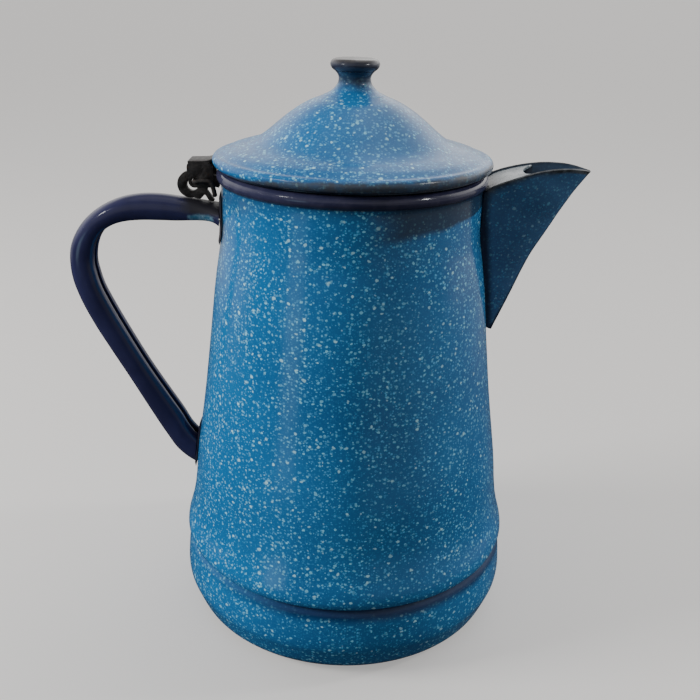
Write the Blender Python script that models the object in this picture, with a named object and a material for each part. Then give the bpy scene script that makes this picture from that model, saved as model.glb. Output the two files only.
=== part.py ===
"""Blue speckled enamel coffee pot with a hinged lid.

Millimetres in the constants, metres in the scene. Z is the pot's axis, the
underside of the base is z = 0, the spout points to +X and the handle to -X.
"""

import math

import bmesh
import bpy
from mathutils import Vector

MM = 0.001

# ---------------------------------------------------------------- dimensions
SEGS = 40  # facets of every piece turned about the pot's axis
WALL = 1.1  # enamelled sheet
GAP = 0.3  # clearance between neighbouring pieces

BASE_FLAT_R = 63.5  # flat disc that the pot stands on
BASE_SHEET = 1.2
BASE_OUTER = [
    (BASE_FLAT_R, 0.0), (68.3, 1.0), (72.2, 4.0), (74.2, 8.0), (75.6, 11.6),
    (77.0, 15.6), (77.35, 19.0), (77.1, 24.0), (76.3, 31.0), (75.6, 33.4),
    (74.2, 34.8),
]
BASE_LAP_R = 73.0  # the pan's lip that stands inside the body
BASE_LAP_Z = (36.6, 45.5)

BODY_OUTER = [
    (74.6, 35.4), (75.9, 36.5), (76.75, 38.7), (76.6, 41.6), (75.6, 45.6),
    (74.5, 49.2), (70.35, 79.0), (65.9, 109.5), (62.65, 136.5), (59.5, 163.2),
    (57.7, 174.5), (56.7, 180.5), (56.3, 186.0), (56.3, 203.95),
]
COLLAR_R = 56.3
BEAD = (55.4, 206.7, 2.8)  # centre radius, height, wire radius of the rolled rim

STRAINER_HOLE_R = 2.5
STRAINER_ROWS = [(191.0, 4), (183.5, 3), (176.0, 2), (168.5, 1)]
STRAINER_PITCH = 7.2

# Spout: the folded keel in the plane of symmetry, and where each fold line ends
KEEL = [
    (65.4, 137.2), (66.4, 139.9), (68.1, 144.0), (70.2, 149.2), (72.8, 155.8),
    (76.4, 165.3), (80.0, 173.7), (83.8, 180.6), (87.5, 187.2), (90.3, 192.4),
    (92.9, 196.8), (95.3, 200.8), (97.5, 204.0), (99.6, 206.9), (101.5, 209.4),
]
SPOUT_JOIN_Z = [140.0, 144.3, 150.5, 158.5, 167.5, 177.5, 187.0, 196.0]
SPOUT_JOIN_W = [1.4, 2.2, 3.2, 4.6, 6.4, 8.4, 10.4, 12.2]  # half-width on the body
SPOUT_TOP = [  # x, half-width, z of the free upper edge
    (57.2, 13.4, 204.1), (65.0, 13.5, 207.75), (71.8, 12.5, 209.85),
    (78.5, 10.8, 211.4), (86.0, 8.9, 212.25), (94.3, 6.2, 212.05),
    (102.0, 1.15, 210.5),
]
SPOUT_SHEET = 1.2
SPOUT_FOLD_R = 2.4  # outer radius of the fold along the keel
BRIDGE_BACK, BRIDGE_FRONT, BRIDGE_HORNS = 55.5, 73.6, 78.4
BRIDGE_SHEET = 1.0

# Handle: pairs of an outer and an inner point down the strap, then half-width
HANDLE = [
    ((-53.5, 192.0), (-53.5, 182.5), 10.6), ((-56.8, 192.5), (-56.9, 184.2), 9.8),
    ((-59.0, 192.9), (-59.2, 185.5), 8.8), ((-61.8, 193.4), (-62.0, 186.1), 7.8),
    ((-65.8, 194.1), (-65.9, 186.1), 7.0), ((-70.2, 194.7), (-70.3, 185.9), 6.7),
    ((-75.4, 195.5), (-75.6, 185.6), 6.6), ((-83.6, 196.4), (-84.2, 185.6), 6.6),
    ((-92.6, 196.2), (-92.9, 185.4), 6.6), ((-101.4, 194.3), (-99.8, 184.5), 6.6),
    ((-110.2, 190.1), (-105.1, 182.6), 6.6), ((-117.0, 184.6), (-109.2, 179.7), 6.6),
    ((-122.0, 177.8), (-112.1, 175.4), 6.6), ((-124.7, 171.0), (-113.7, 170.0), 6.6),
    ((-125.3, 164.7), (-114.1, 165.2), 6.6), ((-124.7, 157.1), (-113.4, 160.4), 6.6),
    ((-122.3, 148.6), (-112.0, 154.6), 6.6), ((-117.2, 136.7), (-107.9, 144.9), 6.6),
    ((-110.3, 123.7), (-101.2, 131.3), 6.6), ((-102.2, 109.1), (-93.6, 116.9), 6.6),
    ((-93.9, 93.5), (-85.3, 102.8), 6.6), ((-86.5, 80.2), (-78.4, 91.4), 6.7),
    ((-81.0, 71.8), (-74.2, 83.7), 6.8), ((-76.0, 67.4), (-70.6, 79.6), 7.0),
    ((-69.4, 63.7), (-65.4, 75.6), 7.2),
]
HANDLE_SHEET = 1.2
HANDLE_SLOT = 0.27  # share of the half-width left open along the inside

UPPER_TAB = (175.5, 198.9, 11.0, 12.4)  # foot, top, half-width there and at the top
LOWER_TAB = (64.6, 88.6, 9.2, 8.0)
TAB_SHEET = 0.8

# Hinge: a pin through an eye on the pot and through two ears on the lid
PIN = (-67.2, 203.3)
PIN_R = 1.0
EYE = (-69.85, 200.95)  # centre of the lug's round back
EYE_R = 5.8
EYE_HALF_WIDTH = 1.3
EYE_HOLE = (-69.2, 200.6)  # the slot runs from here up to the pin
EYE_HOLE_R, EYE_PIN_R = 2.4, 1.25
EYE_FOOT = [  # the lug's foot, its brace and the arm to the rim, back to the top
    (-66.9, 194.75), (-65.7, 194.75), (-63.8, 196.8), (-62.35, 194.35),
    (-61.9, 193.95), (-60.2, 193.75), (-59.8, 194.1), (-60.3, 195.0),
    (-62.0, 197.4), (-62.9, 198.7), (-62.5, 199.7), (-61.0, 200.25),
    (-58.6, 200.0), (-57.75, 199.7), (-57.4, 200.3), (-57.4, 202.9),
    (-58.05, 204.75), (-59.3, 205.1), (-62.6, 205.2), (-64.8, 205.4),
]
EAR_IN, EAR_OUT = 5.3, 6.3
EAR_HOLE_R = 1.28
EAR_LOBE_R = 2.7
EAR_TOP = [  # from the lid side over the top and down the back
    (-59.7, 210.3), (-60.9, 211.0), (-60.9, 211.7), (-67.2, 211.5), (-69.1, 211.4),
    (-70.1, 210.7), (-70.4, 209.7), (-70.4, 205.5), (-70.1, 204.5),
]
EAR_BOTTOM = [(-60.3, 200.8), (-59.6, 201.3), (-59.4, 202.0), (-59.4, 209.6)]
CLEVIS_TOP = [  # upper face of the strap, from its rear end to the lid
    (-69.9, 211.85), (-66.0, 211.95), (-61.6, 212.3), (-60.2, 212.75),
    (-58.6, 213.35), (-56.4, 213.8), (-53.4, 214.8),
]
CLEVIS_SHEET = 0.8

LID_SHEET = 1.0
LID_CURL = (57.2, 213.3, 2.5)  # centre radius, height and radius of the rolled edge
LID_TOP = [
    (8.9, 241.6), (10.6, 240.85), (14.6, 239.1), (18.8, 237.4), (23.0, 235.1),
    (27.3, 232.2), (31.6, 228.8), (36.0, 225.1), (40.4, 221.9), (44.7, 220.1),
    (49.0, 218.9), (53.3, 217.6),
]
COLLAR_SKIRT = (51.0, 50.0, 201.0)  # outer and inner radius, lower end
COLLAR_FLANGE = (56.4, 209.95, 210.65)  # outer radius, lower and upper face
NOTCH_HALF_WIDTH = 6.9
KNOB_NECK = [
    (9.9, 242.0), (8.3, 242.9), (7.1, 244.6), (6.75, 246.4), (6.9, 247.6),
    (7.35, 248.5),
]
KNOB_CAP_R, KNOB_CAP_Z = 10.3, (249.6, 254.6)
LID_AXIS = (PIN[0], PIN[1])

NAVY = (0.010, 0.012, 0.035, 1)
BLUE = (0.010, 0.115, 0.330, 1)
PALE = (0.200, 0.300, 0.420, 1)
STEEL = (0.045, 0.040, 0.038, 1)

for old in list(bpy.data.objects):
    bpy.data.objects.remove(old, do_unlink=True)


# ------------------------------------------------------------------- helpers
def material(name, colour, roughness, metallic=0.0):
    mat = bpy.data.materials.new(name)
    mat.use_nodes = True
    shader = mat.node_tree.nodes["Principled BSDF"]
    shader.inputs["Base Color"].default_value = colour
    shader.inputs["Roughness"].default_value = roughness
    shader.inputs["Metallic"].default_value = metallic
    mat.diffuse_color = colour
    return mat


def solid(name, points, faces, mat=None, sharp=40.0):
    """A closed mesh from points in millimetres, with its faces turned outward."""
    mesh = bpy.data.meshes.new(name)
    mesh.from_pydata([tuple(MM * c for c in p) for p in points], [], faces)
    bm = bmesh.new()
    bm.from_mesh(mesh)
    bmesh.ops.remove_doubles(bm, verts=bm.verts, dist=1e-7)
    bmesh.ops.recalc_face_normals(bm, faces=bm.faces)
    if bm.calc_volume(signed=True) < 0:
        bmesh.ops.reverse_faces(bm, faces=bm.faces)
    bm.to_mesh(mesh)
    bm.free()
    if mat:
        mesh.materials.append(mat)
    obj = bpy.data.objects.new(name, mesh)
    bpy.context.scene.collection.objects.link(obj)
    mesh.shade_smooth()
    mesh.set_sharp_from_angle(angle=math.radians(sharp))
    return obj


def offset(curve, distance):
    """The open polyline moved sideways; positive is to the left of its run."""
    out = []
    for i, p in enumerate(curve):
        a = Vector(curve[max(i - 1, 0)])
        b = Vector(curve[min(i + 1, len(curve) - 1)])
        p = Vector(p)
        if 0 < i < len(curve) - 1:
            d0, d1 = (p - a).normalized(), (b - p).normalized()
            n0, n1 = Vector((-d0.y, d0.x)), Vector((-d1.y, d1.x))
            n = (n0 + n1).normalized()
            n = n / max(n.dot(n0), 0.5)
        else:
            d = (b - a).normalized()
            n = Vector((-d.y, d.x))
        out.append(tuple(p + n * distance))
    return out


def arc(centre, radius, start, end, count):
    return [
        (
            centre[0] + radius * math.cos(math.radians(start + (end - start) * i / count)),
            centre[1] + radius * math.sin(math.radians(start + (end - start) * i / count)),
        )
        for i in range(count + 1)
    ]


def turned(name, loop, mat=None, segs=SEGS, sharp=40.0):
    """A closed (r, z) loop turned about Z. Points on the axis become poles."""
    points, rings = [], []
    for r, z in loop:
        if r < 1e-6:
            rings.append([len(points)] * segs)
            points.append((0.0, 0.0, z))
            continue
        rings.append(list(range(len(points), len(points) + segs)))
        for k in range(segs):
            a = 2 * math.pi * k / segs
            points.append((r * math.cos(a), r * math.sin(a), z))
    faces = []
    for i, ring in enumerate(rings):
        other = rings[(i + 1) % len(rings)]
        if ring[0] == ring[1] and other[0] == other[1]:
            continue
        for k in range(segs):
            n = (k + 1) % segs
            face = []
            for v in (ring[k], ring[n], other[n], other[k]):
                if v not in face:
                    face.append(v)
            faces.append(face)
    return solid(name, points, faces, mat, sharp)


def prism(name, loop, y0, y1, mat=None, sharp=40.0):
    """A closed (x, z) loop drawn out along Y."""
    n = len(loop)
    points = [(x, y0, z) for x, z in loop] + [(x, y1, z) for x, z in loop]
    faces = [list(range(n)), list(range(2 * n - 1, n - 1, -1))]
    faces += [[i, (i + 1) % n, n + (i + 1) % n, n + i] for i in range(n)]
    return solid(name, points, faces, mat, sharp)


def skin(name, sections, mat=None, sharp=40.0):
    """Closed loops of equal length joined in a row, with ribbon ends: each loop
    is an outer run followed by the inner run back, so an end is a strip."""
    n = len(sections[0])
    points = [p for s in sections for p in s]
    faces = []
    for j in range(len(sections) - 1):
        for i in range(n):
            k = (i + 1) % n
            faces.append([j * n + i, j * n + k, (j + 1) * n + k, (j + 1) * n + i])
    for base in (0, (len(sections) - 1) * n):
        for i in range(n // 2 - 1):
            faces.append([base + i, base + i + 1, base + n - 2 - i, base + n - 1 - i])
    return solid(name, points, faces, mat, sharp)


def tube(name, path, radius, mat=None, sides=12):
    """A round wire along a 3-D path, with flat ends."""
    path = [Vector(p) for p in path]
    points, faces = [], []
    side = Vector((0, 0, 1))
    for i, p in enumerate(path):
        d = (path[min(i + 1, len(path) - 1)] - path[max(i - 1, 0)]).normalized()
        u = (side - d * side.dot(d)).normalized()
        side = u
        v = d.cross(u)
        for k in range(sides):
            a = 2 * math.pi * k / sides
            points.append(tuple(p + radius * (math.cos(a) * u + math.sin(a) * v)))
    for i in range(len(path) - 1):
        for k in range(sides):
            n = (k + 1) % sides
            faces.append([i * sides + k, i * sides + n, (i + 1) * sides + n, (i + 1) * sides + k])
    faces.append(list(range(sides)))
    faces.append(list(range((len(path) - 1) * sides, len(path) * sides)))
    return solid(name, points, faces, mat)


def boolean(obj, other, operation):
    other.hide_render = True
    other.display_type = "WIRE"
    mod = obj.modifiers.new(operation.title() + " " + other.name, "BOOLEAN")
    mod.operation = operation
    mod.solver = "EXACT"
    mod.object = other


def catmull(rows, per):
    """Rows of numbers interpolated smoothly, `per` steps between neighbours."""
    out = []
    for i in range(len(rows) - 1):
        p0, p1 = rows[max(i - 1, 0)], rows[i]
        p2, p3 = rows[i + 1], rows[min(i + 2, len(rows) - 1)]
        for s in range(per):
            t = s / per
            out.append([
                0.5 * (2 * b + (c - a) * t + (2 * a - 5 * b + 4 * c - d) * t * t
                       + (3 * b - a - 3 * c + d) * t ** 3)
                for a, b, c, d in zip(p0, p1, p2, p3)
            ])
    out.append(list(rows[-1]))
    return out


def at(curve, z):
    """Radius of the (r, z) curve at a height."""
    for (r0, z0), (r1, z1) in zip(curve, curve[1:]):
        if z0 <= z <= z1:
            return r0 + (r1 - r0) * (z - z0) / (z1 - z0)
    return curve[-1][0] if z > curve[-1][1] else curve[0][0]


def body_cutter(name, grow):
    """Everything inside the pot's outer surface, grown by `grow`."""
    wall = offset(BASE_OUTER[1:-1] + BODY_OUTER[1:-1], -grow)
    top = arc(BEAD[:2], BEAD[2] + grow, -60, 90, 8)
    return turned(name, [(0, -2), (BASE_FLAT_R, -2)] + wall + top + [(0, top[-1][1])])


# ----------------------------------------------------------------- pot body
enamel = material("body_shell_enamel", BLUE, 0.18)
inner = offset(BODY_OUTER, WALL)
bead = arc(BEAD[:2], BEAD[2], -60, 255, 10)
body = turned(
    "body_shell",
    BODY_OUTER[:-1] + [(COLLAR_R, 203.6)] + bead + [(COLLAR_R - WALL, 203.6)] + inner[-2::-1],
    enamel,
)
holes = []
for row, (z, count) in enumerate(STRAINER_ROWS):
    for i in range(count):
        y = STRAINER_PITCH * (i - (count - 1) / 2)
        ring = [
            (y + STRAINER_HOLE_R * math.cos(math.radians(30 * k)),
             z + STRAINER_HOLE_R * math.sin(math.radians(30 * k)))
            for k in range(12)
        ]
        points = [(40.0, a, b) for a, b in ring] + [(70.0, a, b) for a, b in ring]
        faces = [list(range(12)), list(range(23, 11, -1))]
        faces += [[k, (k + 1) % 12, 12 + (k + 1) % 12, 12 + k] for k in range(12)]
        holes.append((points, faces))
points, faces = [], []
for p, f in holes:
    faces += [[len(points) + v for v in face] for face in f]
    points += p
boolean(body, solid("strainer_cutter", points, faces), "DIFFERENCE")

base_inner = offset(BASE_OUTER, BASE_SHEET)
turned(
    "base_pan",
    [(0, 0)] + BASE_OUTER
    + [(BASE_LAP_R, BASE_LAP_Z[0]), (BASE_LAP_R, BASE_LAP_Z[1]),
       (BASE_LAP_R - 1.0, BASE_LAP_Z[1]), (BASE_LAP_R - 1.0, BASE_LAP_Z[0] - 0.6)]
    + base_inner[-2:0:-1] + [(BASE_FLAT_R - 0.4, BASE_SHEET), (0, BASE_SHEET)],
    material("base_pan_enamel", BLUE, 0.18),
)

# -------------------------------------------------------------------- spout
body_side = BODY_OUTER[:-1] + [(COLLAR_R, 210.0)]
ends = []
for i, z in enumerate(SPOUT_JOIN_Z):
    w = SPOUT_JOIN_W[i]
    r = at(body_side, z)
    x = math.sqrt(r * r - w * w)
    reach = 3.5 / (KEEL[i][0] - x + 1.0)
    ends.append((x - 3.5, w * (1 + 0.6 * reach), z))
ends += SPOUT_TOP
stations = catmull([k + e for k, e in zip(KEEL, ends)], 2)
HALF = 6
spout_loops = []
for kx, kz, ex, ew, ez in stations:
    loops = []
    for inset in (0.0, SPOUT_SHEET):
        keel, edge = Vector((kx, kz)), Vector((ex, ez))
        run = edge - keel
        depth = run.length
        d = run / depth
        start = min(inset * 1.15, 0.8 * depth)
        w = max(ew - inset, 0.3)
        depth -= start
        fold = min(max(SPOUT_FOLD_R - inset, 0.8), 0.35 * w * w / depth)
        m2 = max((w * w - 2 * fold * depth) / depth ** 2, 1e-6)
        half = []
        for i in range(HALF + 1):
            y = w * (i / HALF) ** 1.25
            s = (-fold + math.sqrt(fold * fold + m2 * y * y)) / m2
            p = keel + d * (start + min(s, depth))
            half.append((p.x, y, p.y))
        loops.append([(x, -y, z) for x, y, z in half[:0:-1]] + half)
    spout_loops.append(loops[0] + loops[1][::-1])
spout = skin("spout_shell", spout_loops, material("spout_shell_enamel", BLUE, 0.2))
boolean(spout, body_cutter("spout_cutter", GAP), "DIFFERENCE")

top = catmull(SPOUT_TOP, 4)


def edge_at(x):
    for a, b in zip(top, top[1:]):
        if a[0] <= x <= b[0]:
            t = (x - a[0]) / (b[0] - a[0])
            return a[1] + (b[1] - a[1]) * t, a[2] + (b[2] - a[2]) * t
    return top[0][1], top[0][2] - 0.42 * (top[0][0] - x)


ACROSS, ALONG = 10, 9
grid = [[], []]
for i in range(ACROSS + 1):
    u = -1 + 2 * i / ACROSS
    front = BRIDGE_FRONT + (BRIDGE_HORNS - BRIDGE_FRONT) * abs(u) ** 2.6
    for layer, (drop, slim) in enumerate(((0.25, 0.0), (0.25 + BRIDGE_SHEET, 0.45))):
        line = []
        for j in range(ALONG + 1):
            x = BRIDGE_BACK + (front - BRIDGE_BACK) * j / ALONG
            w, z = edge_at(x)
            sag = 0.6 * (1 - u * u) * j / ALONG
            line.append((x, u * (w - SPOUT_SHEET - 0.55 - slim), z - drop - sag))
        grid[layer].append(line)
bridge_loops = [grid[0][i] + grid[1][i][::-1] for i in range(ACROSS + 1)]
bridge = skin("spout_bridge", bridge_loops, material("spout_bridge_enamel", PALE, 0.25))
boolean(bridge, body_cutter("bridge_cutter", GAP), "DIFFERENCE")

# ------------------------------------------------------------------- handle
rows = catmull([o + i + (w,) for o, i, w in HANDLE], 1)
handle_loops = []
for ox, oz, ix, iz, w in rows:
    mid = Vector(((ox + ix) / 2, (oz + iz) / 2))
    out = Vector((ox - ix, oz - iz))
    h = out.length / 2
    out.normalize()
    c = min(0.45 * h, 2.6)
    half = [
        (-h, HANDLE_SLOT * w), (-h, w - c), (-h + 0.3 * c, w - 0.3 * c), (-h + c, w),
        (0.1 * h, 0.985 * w), (0.5 * h, 0.86 * w), (0.82 * h, 0.58 * w), (0.96 * h, 0.29 * w),
    ]
    run = half + [(h, 0.0)] + [(a, -b) for a, b in half[::-1]]
    back = offset(run, -HANDLE_SHEET)
    section = []
    for a, b in run + back[::-1]:
        p = mid + out * a
        section.append((p.x, b, p.y))
    handle_loops.append(section)
handle = skin("handle", handle_loops, material("handle_enamel", NAVY, 0.15), 50.0)
boolean(handle, body_cutter("handle_cutter", 2 * GAP + TAB_SHEET), "DIFFERENCE")


def saddle(name, low, high, wide, narrow, mat):
    """A thin plate wrapped on the body, with rounded ends."""
    loops = []
    count, across = 8, 6
    for j in range(count + 1):
        t = j / count
        z = low + (high - low) * (0.5 - 0.5 * math.cos(math.pi * t))
        w = wide + (narrow - wide) * t
        edge = min(t, 1 - t) * (high - low)
        w *= 0.45 + 0.55 * math.sqrt(max(0.0, 1 - max(0.0, 1 - edge / 7.0) ** 2))
        layers = []
        for grow in (GAP + TAB_SHEET, GAP):
            row = []
            for i in range(across + 1):
                y = w * (-1 + 2 * i / across)
                r = at(body_side, z) + grow
                row.append((-math.sqrt(r * r - y * y), y, z))
            layers.append(row)
        loops.append(layers[0] + layers[1][::-1])
    return skin(name, loops, mat)


upper = saddle("handle_upper_saddle", *UPPER_TAB, material("handle_upper_saddle_enamel", NAVY, 0.2))
saddle("handle_lower_saddle", *LOWER_TAB, material("handle_lower_saddle_enamel", NAVY, 0.2))

# -------------------------------------------------------------------- hinge
iron = material("hinge_eye_iron", STEEL, 0.45, 0.8)
ring = arc(EYE, EYE_R, 60, 285, 18)
eye = prism("hinge_eye", ring + EYE_FOOT, -EYE_HALF_WIDTH, EYE_HALF_WIDTH, iron, 30.0)
lean = math.degrees(math.atan2(PIN[1] - EYE_HOLE[1], PIN[0] - EYE_HOLE[0]))
open_by = math.degrees(math.acos((EYE_HOLE_R - EYE_PIN_R) / math.dist(EYE_HOLE, PIN)))
slot = arc(EYE_HOLE, EYE_HOLE_R, lean + open_by, lean + 360 - open_by, 16)
slot += arc(PIN, EYE_PIN_R, lean - open_by, lean + open_by, 10)
boolean(eye, prism("eye_hole_cutter", slot, -9, 9), "DIFFERENCE")

tube(
    "hinge_pin",
    [(PIN[0], 8.3, PIN[1]), (PIN[0], -6.7, PIN[1]), (PIN[0] + 0.2, -7.4, PIN[1] + 0.02),
     (PIN[0] + 0.75, -7.85, PIN[1] + 0.08), (PIN[0] + 1.6, -8.0, PIN[1] + 0.18),
     (-63.8, -8.0, 203.8), (-62.0, -8.0, 203.85), (-60.6, -8.0, 203.5),
     (-59.6, -8.0, 202.5), (-59.1, -8.0, 201.0), (-58.3, -8.0, 197.4)],
    PIN_R,
    material("hinge_pin_iron", STEEL, 0.4, 0.8),
)

under = offset(CLEVIS_TOP, -CLEVIS_SHEET)
clevis = prism(
    "lid_hinge_clevis", CLEVIS_TOP + under[::-1], -EAR_OUT + 0.15, EAR_OUT - 0.15,
    material("lid_hinge_clevis_iron", STEEL, 0.4, 0.8), 30.0,
)
ear = EAR_TOP + arc(PIN, EAR_LOBE_R, 168, 265, 8) + EAR_BOTTOM
for name, y0, y1 in (("clevis_ear_near", -EAR_OUT, -EAR_IN), ("clevis_ear_far", EAR_IN, EAR_OUT)):
    boolean(clevis, prism(name, ear, y0, y1), "UNION")
boolean(
    clevis,
    prism("clevis_pin_cutter", arc(PIN, EAR_HOLE_R, 0, 337.5, 15), -9, 9),
    "DIFFERENCE",
)

# ---------------------------------------------------------------------- lid
lid_under = offset(LID_TOP, -LID_SHEET)
curl = arc(LID_CURL[:2], LID_CURL[2], 90, -140, 9)
curl_in = arc(LID_CURL[:2], LID_CURL[2] - LID_SHEET + 0.1, 90, -140, 6)
lid = turned(
    "lid_shell",
    LID_TOP[:-1] + [(53.3, 217.55), (55.5, 216.3)] + curl + curl_in[::-1]
    + [(55.0, 215.3)] + lid_under[-2::-1],
    material("lid_shell_enamel", BLUE, 0.18),
)
boolean(
    lid,
    prism("lid_notch_cutter", [(-62.0, 209.0), (-54.0, 209.0), (-54.0, 213.0), (-57.4, 213.95), (-62.0, 213.95)],
          -NOTCH_HALF_WIDTH, NOTCH_HALF_WIDTH),
    "DIFFERENCE",
)

ro, ri, low = COLLAR_SKIRT
fr, f0, f1 = COLLAR_FLANGE
turned(
    "lid_collar",
    [(ro, low), (ro, f0 - 0.8), (ro + 0.5, f0), (fr, f0), (fr, f1), (ro - 0.1, f1),
     (ri, f1 - 1.0), (ri, low)],
    material("lid_collar_enamel", NAVY, 0.25),
)

neck_in = offset(KNOB_NECK, 1.2)
turned(
    "knob_neck",
    KNOB_NECK + [(7.9, 249.1), (7.5, 249.25), (5.2, 249.25)] + neck_in[-2:0:-1] + [(8.9, 242.35)],
    material("knob_neck_enamel", BLUE, 0.2), 24,
)
r, (z0, z1) = KNOB_CAP_R, KNOB_CAP_Z
turned(
    "knob_cap",
    [(0, z1), (7.6, z1 - 0.05), (9.1, z1 - 0.5), (10.0, z1 - 1.5), (r, z1 - 2.6),
     (10.0, z1 - 3.5), (9.3, z0 + 0.7), (8.35, z0), (0, z0)],
    material("knob_cap_enamel", NAVY, 0.15), 24,
)

# The lid's pieces hang from an empty on the hinge axis
axis = bpy.data.objects.new("lid_hinge_axis", None)
axis.empty_display_size = 0.01
axis.location = (LID_AXIS[0] * MM, 0, LID_AXIS[1] * MM)
bpy.context.scene.collection.objects.link(axis)
bpy.context.view_layer.update()
for name in ("lid_shell", "lid_collar", "knob_neck", "knob_cap", "lid_hinge_clevis"):
    piece = bpy.data.objects[name]
    piece.parent = axis
    piece.matrix_parent_inverse = axis.matrix_world.inverted()
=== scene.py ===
"""Looks of the blue speckled enamel coffee pot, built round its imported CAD.

Lengths in the lists are millimetres in the part's own frame: Z is the pot's
axis, the underside of the base is z = 0, the spout is at +X.
"""

import math

import bmesh
import bpy
from mathutils import Matrix, Vector


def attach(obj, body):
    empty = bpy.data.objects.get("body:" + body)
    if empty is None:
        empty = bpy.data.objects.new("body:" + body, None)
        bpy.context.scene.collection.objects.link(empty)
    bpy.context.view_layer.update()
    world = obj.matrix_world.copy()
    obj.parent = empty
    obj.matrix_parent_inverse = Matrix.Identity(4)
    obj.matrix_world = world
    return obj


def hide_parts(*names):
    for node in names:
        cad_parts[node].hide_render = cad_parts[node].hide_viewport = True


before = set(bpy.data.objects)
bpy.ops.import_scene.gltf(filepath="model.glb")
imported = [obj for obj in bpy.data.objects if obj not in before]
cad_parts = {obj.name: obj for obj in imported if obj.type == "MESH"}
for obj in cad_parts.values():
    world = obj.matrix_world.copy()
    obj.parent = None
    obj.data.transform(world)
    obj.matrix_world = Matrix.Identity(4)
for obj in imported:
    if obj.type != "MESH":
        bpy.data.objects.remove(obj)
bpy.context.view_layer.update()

MM = 0.001

# ------------------------------------------------------------------- camera
# Focal length in pixels of the 700-pixel picture, distance and height in mm.
FOCAL, CAM_Y, CAM_Z = 899.7, -387.7, 282.9
PITCH, YAW, ROLL = 0.3868, 0.0019, 0.0245

right0 = Vector((math.cos(YAW), -math.sin(YAW), 0))
ahead0 = Vector((math.sin(YAW), math.cos(YAW), 0))
up_z = Vector((0, 0, 1))
ahead = math.cos(PITCH) * ahead0 - math.sin(PITCH) * up_z
up0 = math.sin(PITCH) * ahead0 + math.cos(PITCH) * up_z
right = math.cos(ROLL) * right0 + math.sin(ROLL) * up0
up = -math.sin(ROLL) * right0 + math.cos(ROLL) * up0
cam_data = bpy.data.cameras.new("camera")
cam_data.sensor_width = 36.0
cam_data.lens = FOCAL * 36.0 / 700.0
cam_data.clip_start = 0.01
camera = bpy.data.objects.new("camera", cam_data)
bpy.context.scene.collection.objects.link(camera)
camera.matrix_world = Matrix((
    (right.x, up.x, -ahead.x, 0.0),
    (right.y, up.y, -ahead.y, CAM_Y * MM),
    (right.z, up.z, -ahead.z, CAM_Z * MM),
    (0, 0, 0, 1),
))
bpy.context.scene.camera = camera

# --------------------------------------------------------------- dimensions
WALL = 1.1
GAP = 0.3
SEGS = 160

BASE_FLAT_R = 63.5
BASE_SHEET = 1.2
BASE_OUTER = [
    (BASE_FLAT_R, 0.0), (68.3, 1.0), (72.2, 4.0), (74.2, 8.0), (75.6, 11.6),
    (77.0, 15.6), (77.35, 19.0), (77.1, 24.0), (76.3, 31.0), (75.6, 33.4),
    (74.2, 34.8),
]
BASE_LAP_R = 73.0
BASE_LAP_Z = (36.6, 45.5)
BODY_OUTER = [
    (74.6, 35.4), (75.9, 36.5), (76.75, 38.7), (76.6, 41.6), (75.6, 45.6),
    (74.5, 49.2), (70.35, 79.0), (65.9, 109.5), (62.65, 136.5), (59.5, 163.2),
    (57.7, 174.5), (56.7, 180.5), (56.3, 186.0), (56.3, 203.95),
]
COLLAR_R = 56.3
BEAD = (55.4, 206.7, 2.8)
STRAINER_HOLE_R = 2.5
STRAINER_ROWS = [(191.0, 4), (183.5, 3), (176.0, 2), (168.5, 1)]
STRAINER_PITCH = 7.2

KEEL = [
    (65.4, 137.2), (66.4, 139.9), (68.1, 144.0), (70.2, 149.2), (72.8, 155.8),
    (76.4, 165.3), (80.0, 173.7), (83.8, 180.6), (87.5, 187.2), (90.3, 192.4),
    (92.9, 196.8), (95.3, 200.8), (97.5, 204.0), (99.6, 206.9), (101.5, 209.4),
]
SPOUT_JOIN_Z = [140.0, 144.3, 150.5, 158.5, 167.5, 177.5, 187.0, 196.0]
SPOUT_JOIN_W = [1.4, 2.2, 3.2, 4.6, 6.4, 8.4, 10.4, 12.2]  # half-width on the body
SPOUT_TOP = [  # x, half-width, z of the free upper edge
    (57.2, 13.4, 204.1), (65.0, 13.5, 207.75), (71.8, 12.5, 209.85),
    (78.5, 10.8, 211.4), (86.0, 8.9, 212.25), (94.3, 6.2, 212.05),
    (102.0, 1.15, 210.5),
]
SPOUT_SHEET = 1.2
SPOUT_FOLD_R = 2.4
BRIDGE_BACK, BRIDGE_FRONT, BRIDGE_HORNS = 55.5, 73.6, 78.4
BRIDGE_SHEET = 1.0

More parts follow.
